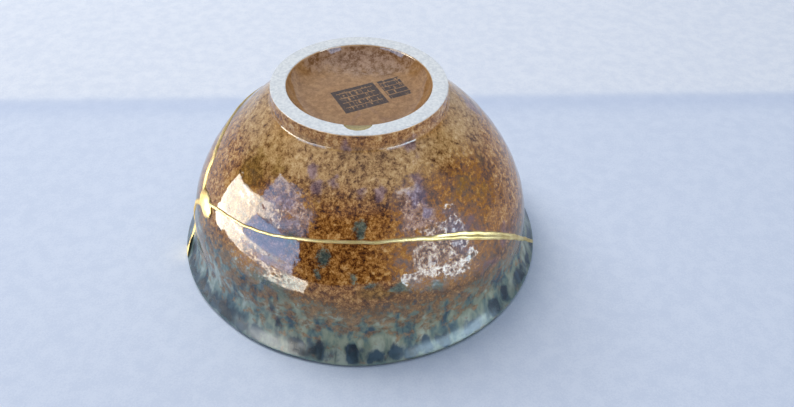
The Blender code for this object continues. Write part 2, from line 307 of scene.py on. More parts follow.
def foot_line():
    """From the end of the wall over the foot ring and down into the recess, to its middle."""
    end, direction = belly_end()
    ring_base = Vector((FOOT_RADIUS + FOOT_TAPER / 3, end.y + FOOT_FILLET))
    half = FOOT_FILLET / 2
    line = bezier(end, end + direction * half, ring_base - Vector((0, half)), ring_base, FILLET_STEPS)[1:]
    inner_radius = FOOT_RADIUS - FOOT_FACE_WIDTH
    top = HEIGHT - FOOT_EDGE
    line += straight(ring_base, (FOOT_RADIUS, top), RING_WALL_STEPS)[1:-1]
    line += quarter_round((FOOT_RADIUS - FOOT_EDGE, top), FOOT_EDGE, 0, EDGE_STEPS)
    line += straight((FOOT_RADIUS - FOOT_EDGE, HEIGHT), (inner_radius + FOOT_EDGE, HEIGHT), FACE_STEPS)[1:-1]
    line += quarter_round((inner_radius + FOOT_EDGE, top), FOOT_EDGE, math.pi / 2, EDGE_STEPS)
    floor = HEIGHT - RECESS_DEPTH
    floor_radius = inner_radius - RECESS_SLOPE_RUN
    line += bezier(
        (inner_radius, top),
        (inner_radius - RECESS_SLOPE_RUN / 4, top - (top - floor) * RECESS_STEEPNESS),
        (inner_radius - RECESS_SLOPE_RUN / 2, floor),
        (floor_radius, floor),
        RECESS_STEPS,
    )[1:]
    return line + straight((floor_radius, floor), (0, floor), FLOOR_STEPS)[1:]


def base_line(inside):
    start = Vector(inside[-1])
    along = (start - Vector(inside[-2])).normalized()
    floor = HEIGHT - RECESS_DEPTH - BASE_THICKNESS
    reach = INNER_FLOOR_BEND * (floor - start.y) / along.y
    flat = start.x * INNER_FLOOR_FLAT
    return bezier(start, start + along * reach, (flat, floor), (0, floor), BASE_STEPS_INSIDE)[1:]


def smooth(value, low, high):
    """Rises from 0 at low to 1 at high without a corner."""
    share = min(max((value - low) / (high - low), 0), 1)
    return share * share * (3 - 2 * share)


def unevenness(azimuth, height):
    """How far the lip stands out of a true circle at this place, as in the solids."""
    if height >= UNEVEN_HEIGHT:
        return 0
    fade = (1 - height / UNEVEN_HEIGHT) ** 2
    offset = 0
    for middle, spread, share in LIP_UNEVENNESS:
        turn = math.remainder(azimuth - middle, 2 * math.pi)
        offset += LIP_OFFSET * share * math.exp(-((turn / spread) ** 2))
    return offset * fade


def relief(azimuth, radius, height):
    """How far the thrown and glazed surface stands out of the even section at this place."""
    place = Vector((radius * math.cos(azimuth), radius * math.sin(azimuth), height))
    depth = BROAD_DEPTH * noise.noise(place / BROAD_LENGTH)
    waver = noise.noise(place / BROAD_LENGTH + Vector((7, 0, 0)))
    depth += RING_DEPTH * math.sin(2 * math.pi * height / RING_LENGTH + 3 * waver) * (0.6 + 0.4 * waver)
    depth += LUMP_DEPTH * noise.noise(place / LUMP_LENGTH)
    runs = Vector((math.cos(azimuth), math.sin(azimuth), 0)) * (RIM_RADIUS / RUN_LENGTH)
    runs.z = height / (6 * RUN_LENGTH)
    lower_wall = 1 - smooth(height, 0.010, 0.024)
    depth += RUN_DEPTH * noise.noise(runs) * lower_wall
    return depth


def quiet_share(radius, height):
    """How much of the relief a place keeps: none where the bowl stands or where it has its full size."""
    share = smooth(height, 0.0020, 0.0060)
    if radius < FOOT_RADIUS + FOOT_TAPER:
        share *= 1 - smooth(height, HEIGHT - 0.0030, HEIGHT - 0.0012)
    return share


def on_bowl(azimuth, radius, height, normal=None):
    """The place of a point of the section at this azimuth, moved along the section's normal by the relief."""
    if normal is not None:
        depth = relief(azimuth, radius, height) * quiet_share(radius, height)
        radius += normal.x * depth
        height += normal.y * depth
    radius += unevenness(azimuth, height)
    return Vector((radius * math.cos(azimuth), radius * math.sin(azimuth), height))


def new_piece(name, mesh):
    piece = bpy.data.objects.new(name, mesh)
    bpy.context.scene.collection.objects.link(piece)
    return piece


def turn_faces_out(mesh):
    edit = bmesh.new()
    edit.from_mesh(mesh)
    bmesh.ops.recalc_face_normals(edit, faces=edit.faces)
    edit.to_mesh(mesh)
    edit.free()


def mesh_of(name, points, faces):
    mesh = bpy.data.meshes.new(name)
    mesh.from_pydata([tuple(point) for point in points], [], faces)
    turn_faces_out(mesh)
    return mesh


def turned(name, section):
    """The section, which starts and ends on the axis, turned round it, with its relief."""
    points = []
    rings = []
    for index, (radius, height) in enumerate(section):
        if radius < 1e-7:
            rings.append([len(points)] * SEGMENTS)
            points.append(Vector((0, 0, height)))
            continue
        out = -inward(section, index)
        rings.append([len(points) + step for step in range(SEGMENTS)])
        points += [on_bowl(2 * math.pi * step / SEGMENTS, radius, height, out) for step in range(SEGMENTS)]
    faces = []
    for lower, upper in zip(rings, rings[1:]):
        for step in range(SEGMENTS):
            after = (step + 1) % SEGMENTS
            face = (lower[step], lower[after], upper[after], upper[step])
            faces.append(tuple(dict.fromkeys(face)))
    return new_piece(name, mesh_of(name, points, faces))


def lofted(name, sections):
    """A solid through these sections, which all have the same number of corners."""
    count = len(sections[0])
    points = [point for section in sections for point in section]
    faces = [tuple(range(count)), tuple(range(len(points) - count, len(points)))]
    for index in range(len(sections) - 1):
        for corner in range(count):
            after = (corner + 1) % count
            low = index * count
            faces.append((low + corner, low + after, low + count + after, low + count + corner))
    return new_piece(name, mesh_of(name, points, faces))


def between(values, place):
    """A smooth value at a place along these values, one unit apart."""
    index = min(int(place), len(values) - 2)
    t = place - index
    before = values[max(index - 1, 0)]
    start = values[index]
    end = values[index + 1]
    after = values[min(index + 2, len(values) - 1)]
    return (
        start
        + (end - before) * t / 2
        + (2 * before - 5 * start + 4 * end - after) * t * t / 2
        + (3 * start - before - 3 * end + after) * t ** 3 / 2
    )


class BreakPoint:
    """One place on a break: the wall's outside and inside there, and the width of the gold."""

    def __init__(self, azimuth, height, width, lines):
        outside, inside = lines
        index = 1
        while index < len(outside) - 1 and outside[index][1] < height:
            index += 1
        low, high = outside[index - 1][1], outside[index][1]
        share = min(max((height - low) / (high - low), 0), 1)
        ends = []
        for line, turn in ((outside, -1), (inside, 1)):
            radius, level = Vector(line[index - 1]).lerp(Vector(line[index]), share)
            ends.append(on_bowl(azimuth, radius, level, inward(line, index) * turn))
        self.outside, self.inside = ends
        self.out = (self.outside - self.inside).normalized()
        self.width = width


def break_points(corners, lines, spacing):
    """Places along a break, evenly spaced, with one at each end. The line wanders a little."""
    azimuths, heights, widths = zip(*corners)

    def at(place):
        azimuth = math.radians(between(azimuths, place))
        height = max(between(heights, place), 0) * HEIGHT
        width = between(widths, place) * GOLD_WIDTH
        here = Vector((math.cos(azimuth), math.sin(azimuth), height / RIM_RADIUS)) * RIM_RADIUS
        ends = min(place, 1) * smooth(height, 0.0015, 0.0045)
        sway = noise.noise(here / BREAK_WANDER_LENGTH) * BREAK_WANDER * ends
        return BreakPoint(azimuth + sway / RIM_RADIUS, height + sway, width, lines)

    found = [at(step / BREAK_FINENESS) for step in range(BREAK_FINENESS * (len(corners) - 1) + 1)]
    chosen = [found[0]]
    travelled = 0
    for before, point in zip(found, found[1:]):
        travelled += (point.outside - before.outside).length
        if travelled >= spacing:
            chosen.append(point)
            travelled = 0
    if travelled < spacing / 2 and len(chosen) > 2:
        chosen.pop()
    if chosen[-1] is not found[-1]:
        chosen.append(found[-1])
    return chosen


def sideways(points, index):
    """The direction across a break, in the surface, at one of its points."""
    before = points[max(index - 1, 0)].outside
    after = points[min(index + 1, len(points) - 1)].outside
    return (after - before).cross(points[index].out).normalized()


def break_cutter(name, points):
    """The thin slot that a break leaves through the wall, hidden under the gold."""
    sections = []
    for index, point in enumerate(points):
        side = sideways(points, index) * CUT_HALF_WIDTH
        top = point.outside + point.out * WALL
        bottom = point.inside - point.out * WALL
        sections.append([top - side, top + side, bottom + side, bottom - side])
    below = Vector((0, 0, -2 * LIP_ROUND))
    sections.append([corner + below for corner in sections[-1]])
    beyond = (points[0].outside - points[1].outside).normalized() * GOLD_WIDTH
    sections.insert(0, [corner + beyond for corner in sections[0]])
    return lofted(name, sections)


def carve(piece, operation, tools):
    """Cuts the tools out of the piece, or joins them to it, one after the other. The tools are used up."""
    for tool in tools:
        change = piece.modifiers.new(tool.name, "BOOLEAN")
        change.operation = operation
        change.solver = "MANIFOLD"
        change.object = tool
        graph = bpy.context.evaluated_depsgraph_get()
        mesh = bpy.data.meshes.new_from_object(piece.evaluated_get(graph))
        piece.modifiers.clear()
        piece.data = mesh
        bpy.data.objects.remove(tool)


def loose_meshes(mesh):
    """The separate bodies of a mesh, each as its own mesh."""
    whole = bmesh.new()
    whole.from_mesh(mesh)
    done = set()
    found = []
    for start in whole.faces:
        if start in done:
            continue
        done.add(start)
        body = [start]
        for face in body:
            for edge in face.edges:
                for other in edge.link_faces:
                    if other not in done:
                        done.add(other)
                        body.append(other)
        order = {}
        for face in body:
            for corner in face.verts:
                order.setdefault(corner, len(order))
        points = [corner.co.copy() for corner in order]
        faces = [[order[corner] for corner in face.verts] for face in body]
        part = bpy.data.meshes.new("shard")
        part.from_pydata(points, [], faces)
        found.append(part)
    whole.free()
    return found


def shard_node(mesh):
    """The node that a shard stands for."""
    points = [corner.co for corner in mesh.vertices]
    if max(point.z for point in points) > HEIGHT - FOOT_EDGE:
        return "bowl_body"
    middle = sum(points, Vector()) / len(points)
    return "front_rim_shard" if middle.y < middle.x else "back_rim_shard"


def crown(share, wide):
    """How high the gold stands at a share of its half-width: a hump, or if wide a ridge and an edge."""
    hump = (1 - abs(share) ** 2.4) ** 0.75
    ridge = math.exp(-(((share - 0.28) / 0.42) ** 2))
    edge = 0.62 * math.exp(-(((share + 0.80) / 0.15) ** 2))
    floor = 0.34 * (1 - abs(share) ** 6)
    two = min(max(ridge, floor) + edge, 1) * (1 - abs(share) ** 10)
    return hump * (1 - wide) + two * wide


def gold_arm(name, points, seed):
    """The gold in one break: a bead outside, a flatter one inside, and a thin web through the wall."""
    sections = []
    travelled = 0
    for index, point in enumerate(points):
        travelled += (point.outside - points[max(index - 1, 0)].outside).length
        along = Vector((travelled / GOLD_SWELL_LENGTH, seed, 0))
        swell = 1 + GOLD_SWELL * noise.noise(along) + GOLD_FINE_SWELL * noise.noise(along * 3.1)
        drift = noise.noise(along * 0.8 + Vector((0, 5, 0)))
        half = point.width / 2 * swell
        side = sideways(points, index)
        near_lip = min(point.outside.z / (4 * LIP_ROUND), 1)
        wide = smooth(point.width, WIDE_SEAM_FROM, WIDE_SEAM_FULL) if seed == 1 else 0
        proud = GOLD_PROUD * near_lip * (1 + GOLD_DRIFT * drift)
        section = []
        for step in range(CROWN_SIDES + 1):
            share = 2 * step / CROWN_SIDES - 1
            rise = (proud + GOLD_SINK) * crown(share, wide) - GOLD_SINK
            section.append(point.outside + side * (half * share) + point.out * rise)
        web = side * GOLD_WEB
        section.append(point.outside + web - point.out * (2 * GOLD_SINK))
        section.append(point.inside + web + point.out * (2 * GOLD_SINK))
        for step in range(CROWN_SIDES + 1):
            share = 1 - 2 * step / CROWN_SIDES
            rise = (GOLD_PROUD_INSIDE * near_lip + GOLD_SINK) * crown(share, 0) - GOLD_SINK
            section.append(point.inside + side * (half * share) - point.out * rise)
        section.append(point.inside - web + point.out * (2 * GOLD_SINK))
        section.append(point.outside - web - point.out * (2 * GOLD_SINK))
        sections.append(section)
    for section in sections:
        for corner in section:
            corner.z = max(corner.z, GOLD_CLEAR)
    into_blob = (points[0].outside - points[1].outside).normalized() * (BLOB_WIDTH * 0.2)
    sections[0] = [corner + into_blob for corner in sections[0]]
    return lofted(name, sections)


def blob(name, point):
    """The gold where the breaks meet: an uneven dome outside, a small one inside and a stem between them."""
    level = Vector((0, 0, 1)).cross(point.out).normalized()
    upright = point.out.cross(level)

    def ring(middle, share, lift):
        corners = []
        for step in range(BLOB_SIDES):
            turn = 2 * math.pi * step / BLOB_SIDES
            edge = 1 + BLOB_RAGGED * noise.noise(Vector((2 * math.cos(turn), 2 * math.sin(turn), 3.3)))
            across = level * (BLOB_LENGTH / 2 * share * edge * math.cos(turn))
            across += upright * (BLOB_WIDTH / 2 * share * edge * math.sin(turn))
            dent = 1 + BLOB_DENT * noise.noise((across / BLOB_DENT_LENGTH) + Vector((1.7, 0, 0)))
            corners.append(middle + across + point.out * (lift * dent))
        return corners

    sections = []
    for index in range(1, BLOB_RINGS + 1):
        share = index / BLOB_RINGS
        rise = (BLOB_PROUD + GOLD_SINK) * (1 - share ** 2.6) ** 0.7 - GOLD_SINK
        sections.append(ring(point.outside, share, rise))
    sections.append(ring(point.outside - point.out * WALL * 0.15, BLOB_STEM, 0))
    sections.append(ring(point.inside + point.out * WALL * 0.15, BLOB_STEM, 0))
    for index in range(BLOB_RINGS, 0, -1):
        share = index / BLOB_RINGS
        rise = (GOLD_PROUD_INSIDE + GOLD_SINK) * (1 - share ** 2.6) ** 0.7 - GOLD_SINK
        sections.append(ring(point.inside, share, -rise))
    return lofted(name, sections)


def chip_prism(name, growth, inner_radius, levels):
    """A ragged lens at the inner edge of the ring's face, through levels of a height and a drawing in."""
    edge = FOOT_RADIUS - FOOT_FACE_WIDTH + FOOT_EDGE
    half_turn = (CHIP_LENGTH / 2 + growth) / edge
    rings = []
    for height, inset in levels:
        outline = []
        for step in range(CHIP_STEPS + 1):
            share = 2 * step / CHIP_STEPS - 1
            ragged = 1 + CHIP_RAGGED * noise.noise(Vector((share * 5, 0, 8)))
            bulge = CHIP_WIDTH * ragged * (1 - share * share) ** CHIP_BLUNTNESS
            outline.append((CHIP_AZIMUTH + half_turn * share, edge + max(bulge - inset, 0) + growth))
        outline += [(azimuth, inner_radius) for azimuth, _ in reversed(outline)]
        rings.append([Vector((r * math.cos(a), r * math.sin(a), height)) for a, r in outline])
    return lofted(name, rings)


def chip_fill(name):
    """The gold in the foot ring's chip, a hair below the bare face."""
    low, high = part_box("foot_chip_fill")
    levels = ((low.z, 0), (high.z - CHIP_ROUND, 0), (high.z, CHIP_ROUND))
    return chip_prism(name, 0, FOOT_RADIUS - FOOT_FACE_WIDTH + FOOT_EDGE / 2, levels)


def chip_cutter(name):
    """What the chip takes out of the ring, a little wider than its gold."""
    low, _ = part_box("foot_chip_fill")
    levels = ((low.z - CHIP_GAP, 0), (HEIGHT + FOOT_EDGE, 0))
    return chip_prism(name, CHIP_GAP, FOOT_RADIUS - FOOT_FACE_WIDTH - 2 * FOOT_EDGE, levels)


def srgb(red, green, blue):
    """A colour given as on a screen, 0 to 255, as the shader's linear values."""
    return tuple(
        value / 255 / 12.92 if value / 255 <= 0.04045 else ((value / 255 + 0.055) / 1.055) ** 2.4
        for value in (red, green, blue)
    )


class Words:
    """Short words for the nodes of one tree."""

    def __init__(self, tree):
        self.tree = tree

    def node(self, kind, *values):
        """A new node, with these values in its first sockets."""
        node = self.tree.nodes.new("ShaderNode" + kind)
        for socket, value in zip(node.inputs, values):
            self.give(socket, value)
        return node

    def give(self, socket, value):
        if isinstance(value, bpy.types.NodeSocket):
            self.tree.links.new(value, socket)
        elif isinstance(value, (tuple, list)) and len(socket.default_value) == 4:
            socket.default_value = (*value, 1)
        else:
            socket.default_value = value

    def vector(self, operation, vector, scale=None):
        node = self.node("VectorMath", vector)
        node.operation = operation
        if scale is not None:
            node.inputs["Scale"].default_value = scale
        return node.outputs["Value" if operation == "LENGTH" else "Vector"]

    def math(self, operation, first, second=0.0):
        node = self.node("Math", first, second)
        node.operation = operation
        return node.outputs[0]

    def parts(self, vector):
        return self.node("SeparateXYZ", vector).outputs

    def joined(self, x, y, z):
        return self.node("CombineXYZ", x, y, z).outputs[0]

    def noise(self, place, size, detail=2.0, roughness=0.5, distortion=0.0, seed=0.0):
        """Cloudy values around 0.5, with clouds about this many millimetres apart."""
        node = self.node("TexNoise")
        node.noise_dimensions = "4D"
        for name, value in (
            ("Vector", place),
            ("W", seed),
            ("Scale", 1 / size),
            ("Detail", detail),
            ("Roughness", roughness),
            ("Distortion", distortion),
        ):
            self.give(node.inputs[name], value)
        return node.outputs["Fac"]

    def ramp(self, value, low, high, low_value=0.0, high_value=1.0):
        """A smooth step of the value from low to high."""
        node = self.node("MapRange", value, low, high, low_value, high_value)
        node.interpolation_type = "SMOOTHSTEP"
        return node.outputs[0]

    def mix(self, share, first, second):
        node = self.node("Mix")
        node.data_type = "RGBA"
        self.give(node.inputs["Factor"], share)
        colours = [socket for socket in node.inputs if socket.type == "RGBA"]
        self.give(colours[0], first)
        self.give(colours[1], second)
        return [socket for socket in node.outputs if socket.type == "RGBA"][0]

    def scale(self, value, stops):
        """The colour that a scale of colours gives the value."""
        node = self.node("ValToRGB", value)
        elements = node.color_ramp.elements
        elements.remove(elements[1])
        for index, (position, colour) in enumerate(stops):
            element = elements.new(position) if index else elements[0]
            element.position = position
            element.color = (*srgb(*colour), 1)
        return node.outputs["Color"]

    def shade(self, colour, tone):
        """One colour, darker and lighter with the mottling."""
        dark = tuple(0.45 * part for part in srgb(*colour))
        light = tuple(1.55 * part for part in srgb(*colour))
        return self.mix(self.ramp(tone, 0.34, 0.66), dark, light)

    def painted(self, kind):
        """How strongly a painted patch covers the place."""
        node = self.node("Attribute")
        node.attribute_name = kind
        return node.outputs["Fac"]

    def times(self, first, second):
        return self.math("MULTIPLY", first, second)

    def plus(self, first, second):
        return self.math("ADD", first, second)

    def minus(self, first, second):
        return self.math("SUBTRACT", first, second)

    def less(self, value):
        """One minus the value."""
        return self.minus(1.0, value)

    def bump(self, height, distance):
        node = self.node("Bump")
        node.inputs["Distance"].default_value = distance
        self.give(node.inputs["Height"], height)
        return node.outputs["Normal"]


class Looks(Words):
    """One material, with places on the object in millimetres."""

    def __init__(self, name):
        self.material = bpy.data.materials.new(name)
        self.material.use_nodes = True
        super().__init__(self.material.node_tree)
        self.shader = self.tree.nodes["Principled BSDF"]
        self.place = self.vector("SCALE", self.node("TexCoord").outputs["Object"], scale=1000)

    def give_shader(self, name, value):
        self.give(self.shader.inputs[name], value)


# Glaze colours, from the darkest places of the mottling to the lightest: place on the scale, colour on screen
BROWN_SCALE = (
    (0.30, (44, 20, 4)),
    (0.38, (82, 44, 12)),
    (0.45, (124, 78, 30)),
    (0.52, (158, 112, 58)),
    (0.60, (184, 146, 94)),
    (0.74, (210, 184, 138)),
)
TAN_SCALE = (
    (0.30, (60, 38, 20)),
    (0.38, (106, 74, 42)),
    (0.46, (146, 114, 72)),
    (0.56, (170, 140, 96)),
    (0.72, (196, 170, 130)),
)
TEAL_SCALE = (
    (0.26, (44, 66, 78)),
    (0.40, (78, 98, 96)),
    (0.50, (104, 116, 102)),
    (0.62, (120, 128, 112)),
    (0.80, (142, 152, 140)),
)
COLD_TEAL_SCALE = (
    (0.26, (24, 48, 64)),
    (0.40, (56, 80, 92)),
    (0.52, (88, 110, 114)),
    (0.64, (114, 132, 130)),
    (0.80, (144, 158, 156)),
)
FLECK_SCALE = (
    (0.34, (80, 58, 38)),
    (0.48, (124, 92, 58)),
    (0.66, (152, 120, 82)),
)
LOW_BROWN = (98, 80, 58)
PLUM = (92, 74, 100)
OLIVE = (112, 84, 30)
TEAL_SPOT = (64, 92, 88)
NAVY = (14, 32, 52)
# Partly the glaze's own colour, partly painted shade in the hollow of the flaring lip
LIP_DARK_AND_SHADE = (30, 54, 68)
LIP_PALE = (92, 116, 120)
CLAY = (198, 201, 202)
CLAY_DULL = (178, 183, 187)
CLAY_WARM = (214, 180, 136)
RECESS_DARK, RECESS_LIGHT = (124, 90, 56), (146, 112, 76)
# The back slope of the recess: dark specks, and a pale pinkish grey that is a painted reflection
RECESS_BACK_DARK, RECESS_PAINTED_REFLECTION = (74, 48, 30), (136, 118, 112)
INK = (40, 32, 32)
GOLD_DULL, GOLD_BRIGHT, GOLD_HOLLOW = (202, 172, 110), (224, 200, 144), (150, 122, 66)
# The sheet lies flat: the far colour is painted light past the painted bend, the crease colour painted shade
# along it
SHEET_NEAR, SHEET_LIT_BEYOND = (222, 230, 244), (236, 240, 247)
SHEET_BEND_SHADE, SHEET_FIBRE = (176, 192, 222), (182, 196, 220)

# Zones of the glaze, by height in millimetres: where each begins and where it is full
MIDDLE_TOP, MIDDLE_FOOT = (52, 46), (18, 26)
UPPER_FOOT, UPPER_TOP = (44, 51), (57.5, 54.5)
LOW_BROWN_ZONE = (29, 17)
FLECK_ZONE = (4, 15)
GREEN_ZONE = (21, 14)
RUN_ZONE = (22.0, 12.0)
POOL_FOOT, POOL_TOP = (0.8, 2.0), (8.0, 4.0)
# The lip's darker band: partly the glaze's own colour, partly painted shade
LIP_DARK_AND_SHADE_ZONE = (9.0, 2.5)
PALE_EDGE_ZONE = (1.8, 0.6)
SATIN_ZONE = (17, 8)

# The radius that the glaze's runs are laid out at, in millimetres, and how much they are drawn out downwards
FLOW_RADIUS = 52
FLOW_DRAW = 0.55

# The surface: roughness of the glaze, what the lip adds, the bare clay's, and bumps in metres
GLAZE_ROUGHNESS = 0.03
LIP_ROUGHNESS = 0.21
CLAY_ROUGHNESS = 0.72
GLAZE_BUMP = 0.00022
GLAZE_IOR = 1.52
GOLD_BUMP = 0.00003

# How far the edges of the patches waver, and how far apart the waves are
PATCH_WAVER, PATCH_WAVER_LENGTH = 0.0014, 0.0030
PATCH_WAVERS_APART = 37.3

# The radius that turns a patch's width into degrees, and how many half-widths from its middle it ends
PATCH_RADIUS = 0.8 * RIM_RADIUS
PATCH_END = 3

# Broad patches of the glaze: azimuth in degrees, height, half-width and half-height in millimetres, strength
PATCHES = {
    "dark": (
        (-98, 45.5, 9, 2.6, 0.8), (-80, 44.5, 8, 2.4, 0.65), (-105, 31, 7, 4, 0.6), (-71, 34, 5, 5, 0.8),
        (-61, 45, 4, 2.5, 1.0), (-27, 43, 3.5, 3, 1.0), (-40, 43, 7, 3, 0.7), (-89, 33, 8, 4, 0.4),
        (-142, 46, 7, 3, 0.6), (-122, 36, 8, 7, 1.2), (-54, 34, 8, 6, 1.0), (-92, 37, 5, 2, 0.7),
        (-50, 47, 5, 2.5, 0.6), (-33, 36, 6, 3, 0.5), (-92, 52, 13, 4, 0.35), (20, 42, 8, 4, 0.8),
        (55, 34, 9, 5, 0.7), (90, 45, 8, 3, 0.8), (125, 37, 9, 4, 0.7), (160, 43, 7, 4, 0.8),
    ),
    "plum": (
        (-114, 51, 2.2, 1.4, 0.9), (-110, 48.5, 2.6, 1.6, 1.0), (-103, 50, 1.8, 1.0, 0.7),
        (-126, 44, 7, 3, 0.7), (-90, 48, 2.8, 1.0, 0.9), (-82, 47.5, 1.8, 1.2, 0.9), (-124, 34, 6, 5, 0.9),
        (-66, 46.5, 4, 2.4, 0.9), (-54, 35, 7, 4, 0.6), (-64, 42, 1.8, 2.2, 0.8), (-60, 56, 5, 2, 0.8),
        (-97, 56.5, 3, 2, 0.7),
        (-120, 39, 4, 2, 0.5), (-30, 24, 8, 3, 0.5), (-45, 21, 7, 3, 0.4), (10, 49, 5, 3, 0.8),
        (70, 48, 6, 3, 0.8), (110, 50, 4, 3, 0.8), (150, 47, 5, 3, 0.7), (175, 25, 8, 3, 0.4),
    ),
    "olive": (
        (-144, 45.5, 7, 3.6, 0.9), (-131, 49, 3.5, 2, 0.7), (-83, 24, 6, 1.6, 0.8), (-40, 42, 7, 4, 0.5),
        (-110, 44, 5, 3, 0.4), (-20, 45, 6, 4, 0.4), (40, 45, 7, 4, 0.7), (100, 40, 7, 4, 0.6),
        (140, 28, 8, 3, 0.6),
    ),
    "teal": (
        (-90.5, 40.5, 1.3, 1.4, 1.0), (-103, 33, 1.4, 1.8, 1.0), (-104.5, 28.5, 0.9, 0.9, 0.9),
        (-93, 28.5, 0.9, 1.4, 0.8), (-87, 26.5, 1.6, 0.9, 0.8), (-78.5, 24.8, 2.2, 1.2, 1.0),
        (-115, 36, 1.4, 1.2, 0.8), (-121, 21, 5, 3, 1.0), (-117, 15, 2.5, 4, 0.9), (-113, 24.5, 3, 1.5, 0.7),
        (-66, 22.5, 3, 1.4, 0.7), (-52, 26.5, 1.6, 1.0, 0.6), (30, 31, 2, 1.5, 1.0), (80, 29, 1.6, 1.6, 1.0),
        (135, 33, 1.8, 1.5, 1.0),
    ),
    "navy": (
        (-157, 2.4, 2.0, 1.3, 0.8), (-148.5, 3.0, 1.8, 1.5, 0.9), (-142.5, 3.0, 1.4, 1.4, 0.8),
        (-135.5, 2.8, 1.8, 1.3, 0.9), (-129, 3.0, 1.3, 1.3, 0.8), (-124, 3.8, 1.6, 1.3, 0.9),
        (-110, 4.2, 1.5, 1.9, 1.1), (-103, 4.1, 1.4, 2.0, 1.1), (-92.5, 3.8, 1.2, 1.8, 1.0),
        (-86.2, 2.6, 1.6, 1.2, 0.9), (-80.5, 3.4, 1.3, 1.6, 1.0), (-75.5, 2.5, 1.4, 1.1, 0.9),
        (-71, 3.2, 1.1, 1.7, 0.9), (-65.5, 3.7, 1.3, 1.5, 1.1), (-55, 3.0, 1.7, 1.2, 0.9),
        (-44.5, 4.6, 1.6, 2.0, 1.0), (-42, 9.0, 1.3, 3.0, 0.6), (-38.5, 5.6, 1.3, 1.6, 0.8),
        (-119, 15.0, 1.2, 3.4, 0.55), (-116.5, 10.0, 1.1, 3.0, 0.6), (-96, 11, 0.9, 1.6, 0.5),
        (-147, 10, 1.3, 3.0, 0.5), (-28, 4.5, 2.0, 1.8, 0.9), (-19, 3.4, 1.5, 1.4, 0.8),
        (-9, 4.2, 1.8, 1.8, 0.9), (5, 3.5, 2.0, 1.5, 0.9), (16, 4.4, 1.5, 1.7, 0.8),
        (28, 3.2, 1.9, 1.4, 0.9), (41, 4.4, 1.5, 2.0, 1.0), (52, 3.0, 1.7, 1.3, 0.9),
        (66, 4.0, 1.5, 1.8, 1.0), (78, 3.4, 1.9, 1.5, 0.9), (91, 4.4, 1.4, 2.0, 1.0),
        (104, 3.2, 1.8, 1.4, 0.9), (118, 4.0, 1.6, 1.8, 1.0), (131, 3.4, 1.8, 1.4, 0.9),
        (145, 4.2, 1.5, 1.8, 0.9), (158, 3.2, 1.8, 1.4, 0.9), (172, 4.0, 1.6, 1.7, 0.9),
    ),
    "pitted": (
        (-52, 34, 16, 9, 1.0), (-62, 44, 9, 5, 0.9), (-32, 40, 10, 8, 0.7), (-118, 42, 7, 4, 0.5),
        (-138, 40, 12, 12, 0.2), (-126, 25, 9, 5, 0.5), (60, 38, 20, 10, 0.8),
    ),
}


def wavered(point):
    """The point, moved a little, so that what is painted by such points gets wavering edges."""
    place = point / PATCH_WAVER_LENGTH
    shift = [noise.noise(place + Vector((0, 0, PATCH_WAVERS_APART * axis))) for axis in range(3)]
    return point + Vector(shift) * PATCH_WAVER


def paint(mesh):
    """Stores how strongly each kind of patch covers each point of a glazed piece."""
    places = [wavered(vertex.co) * 1000 for vertex in mesh.vertices]
    arm = 1000 * PATCH_RADIUS
    for kind, patches in PATCHES.items():
        values = []
        for x, y, z in places:
            azimuth = math.atan2(y, x)
            strength = 0
            for middle, height, half_width, half_height, most in patches:
                turn = math.remainder(azimuth - math.radians(middle), 2 * math.pi)
                across = turn * arm / half_width
                up = (z - height) / half_height
                off = across * across + up * up
                if off < PATCH_END ** 2:
                    strength = max(strength, most * math.exp(-off / 2))
            values.append(strength)
        layer = mesh.attributes.new(kind, "FLOAT", "POINT")
        layer.data.foreach_set("value", values)


# Potter's mark: rows of short strokes in the glaze colour, on the recess floor, in millimetres and degrees
MARK_TURN = math.radians(24)
MARK_BLOCKS = (
    ((0.0, -0.4), (14.4, 12.2), 2.6),
    ((10.9, 5.0), (7.4, 10.6), 2.3),
)
MARK_BORDER = 1.1


def mark_share(looks):
    """Where the potter's mark is inked: a framed block and a narrow one, of rows of short upright strokes."""
    ramp, noise_of, times, plus, minus = looks.ramp, looks.noise, looks.times, looks.plus, looks.minus
    x, y, z = looks.parts(looks.place)
    floor = 1000 * (HEIGHT - RECESS_DEPTH)
    near_floor = times(ramp(z, floor - 1.0, floor - 0.6), ramp(z, floor + 1.4, floor + 0.8))
    cos, sin = math.cos(MARK_TURN), math.sin(MARK_TURN)
    share = 0.0
    for number, (middle, size, row) in enumerate(MARK_BLOCKS):
        east = minus(x, middle[0])
        north = minus(y, middle[1])
        u = plus(times(east, cos), times(north, sin))
        v = minus(times(north, cos), times(east, sin))
        from_edge = plus(v, size[1] / 2)
        rows = looks.math("PINGPONG", from_edge, row / 2)
        row_number = looks.math("FLOOR", looks.math("DIVIDE", from_edge, row))
        upright = noise_of(looks.joined(u, times(row_number, 7.0), 0.0), 0.62, 1, 0.5, seed=31.0 + number)
        level = noise_of(looks.joined(times(u, 0.45), times(v, 1.9), 0.0), 1.0, 0, 0.5, seed=34.0)
        strokes = looks.math("MAXIMUM", ramp(upright, 0.40, 0.46), ramp(level, 0.52, 0.57))
        strokes = times(strokes, ramp(rows, 0.08, 0.20))
        inside = 1.0
        core = 1.0
        for way, length in ((u, size[0]), (v, size[1])):
            off = looks.math("ABSOLUTE", way)
            edge = length / 2
            inside = times(ramp(off, edge + 0.1, edge - 0.1), inside)
            core = times(ramp(off, edge - MARK_BORDER, edge - MARK_BORDER - 0.2), core)
        border = looks.less(core) if number == 0 else 0.0
        inked = times(looks.math("MAXIMUM", strokes, border), inside)
        share = looks.math("MAXIMUM", inked, share)
    worn = ramp(noise_of(looks.place, 0.8, 3, seed=9.1), 0.28, 0.46, 0.60, 1.0)
    return times(times(share, worn), near_floor)


